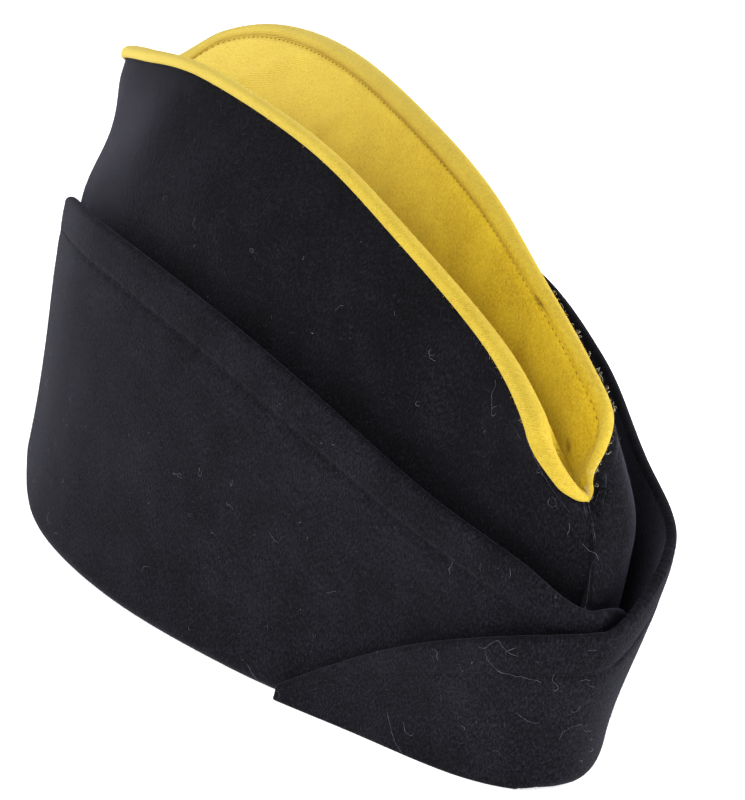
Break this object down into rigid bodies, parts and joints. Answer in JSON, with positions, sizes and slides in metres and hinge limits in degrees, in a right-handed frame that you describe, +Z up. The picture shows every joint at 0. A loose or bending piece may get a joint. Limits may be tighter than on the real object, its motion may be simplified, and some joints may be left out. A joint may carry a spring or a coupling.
{
  "type": "side cap",
  "caption": "Boat-shaped cloth side cap in navy wool with a yellow folded top gusset and turn-up flaps, standing on its rim; worn on the head.",
  "frame": {"origin": "on the surface that the cap stands on, under the middle of its box", "axes": "+Z up, -Y to the cap's front, -X to the wearer's right"},
  "size_m": [0.1152, 0.2869, 0.1316],
  "materials": {
    "navy_wool": "milled navy wool with a short nap",
    "yellow_wool": "fine yellow wool twill"
  },
  "bodies": {
    "root": {"crown_right": "navy_wool", "crown_left": "navy_wool", "top_gusset": "yellow_wool", "flap_right": "navy_wool", "flap_left": "navy_wool"}
  },
  "joints": []
}
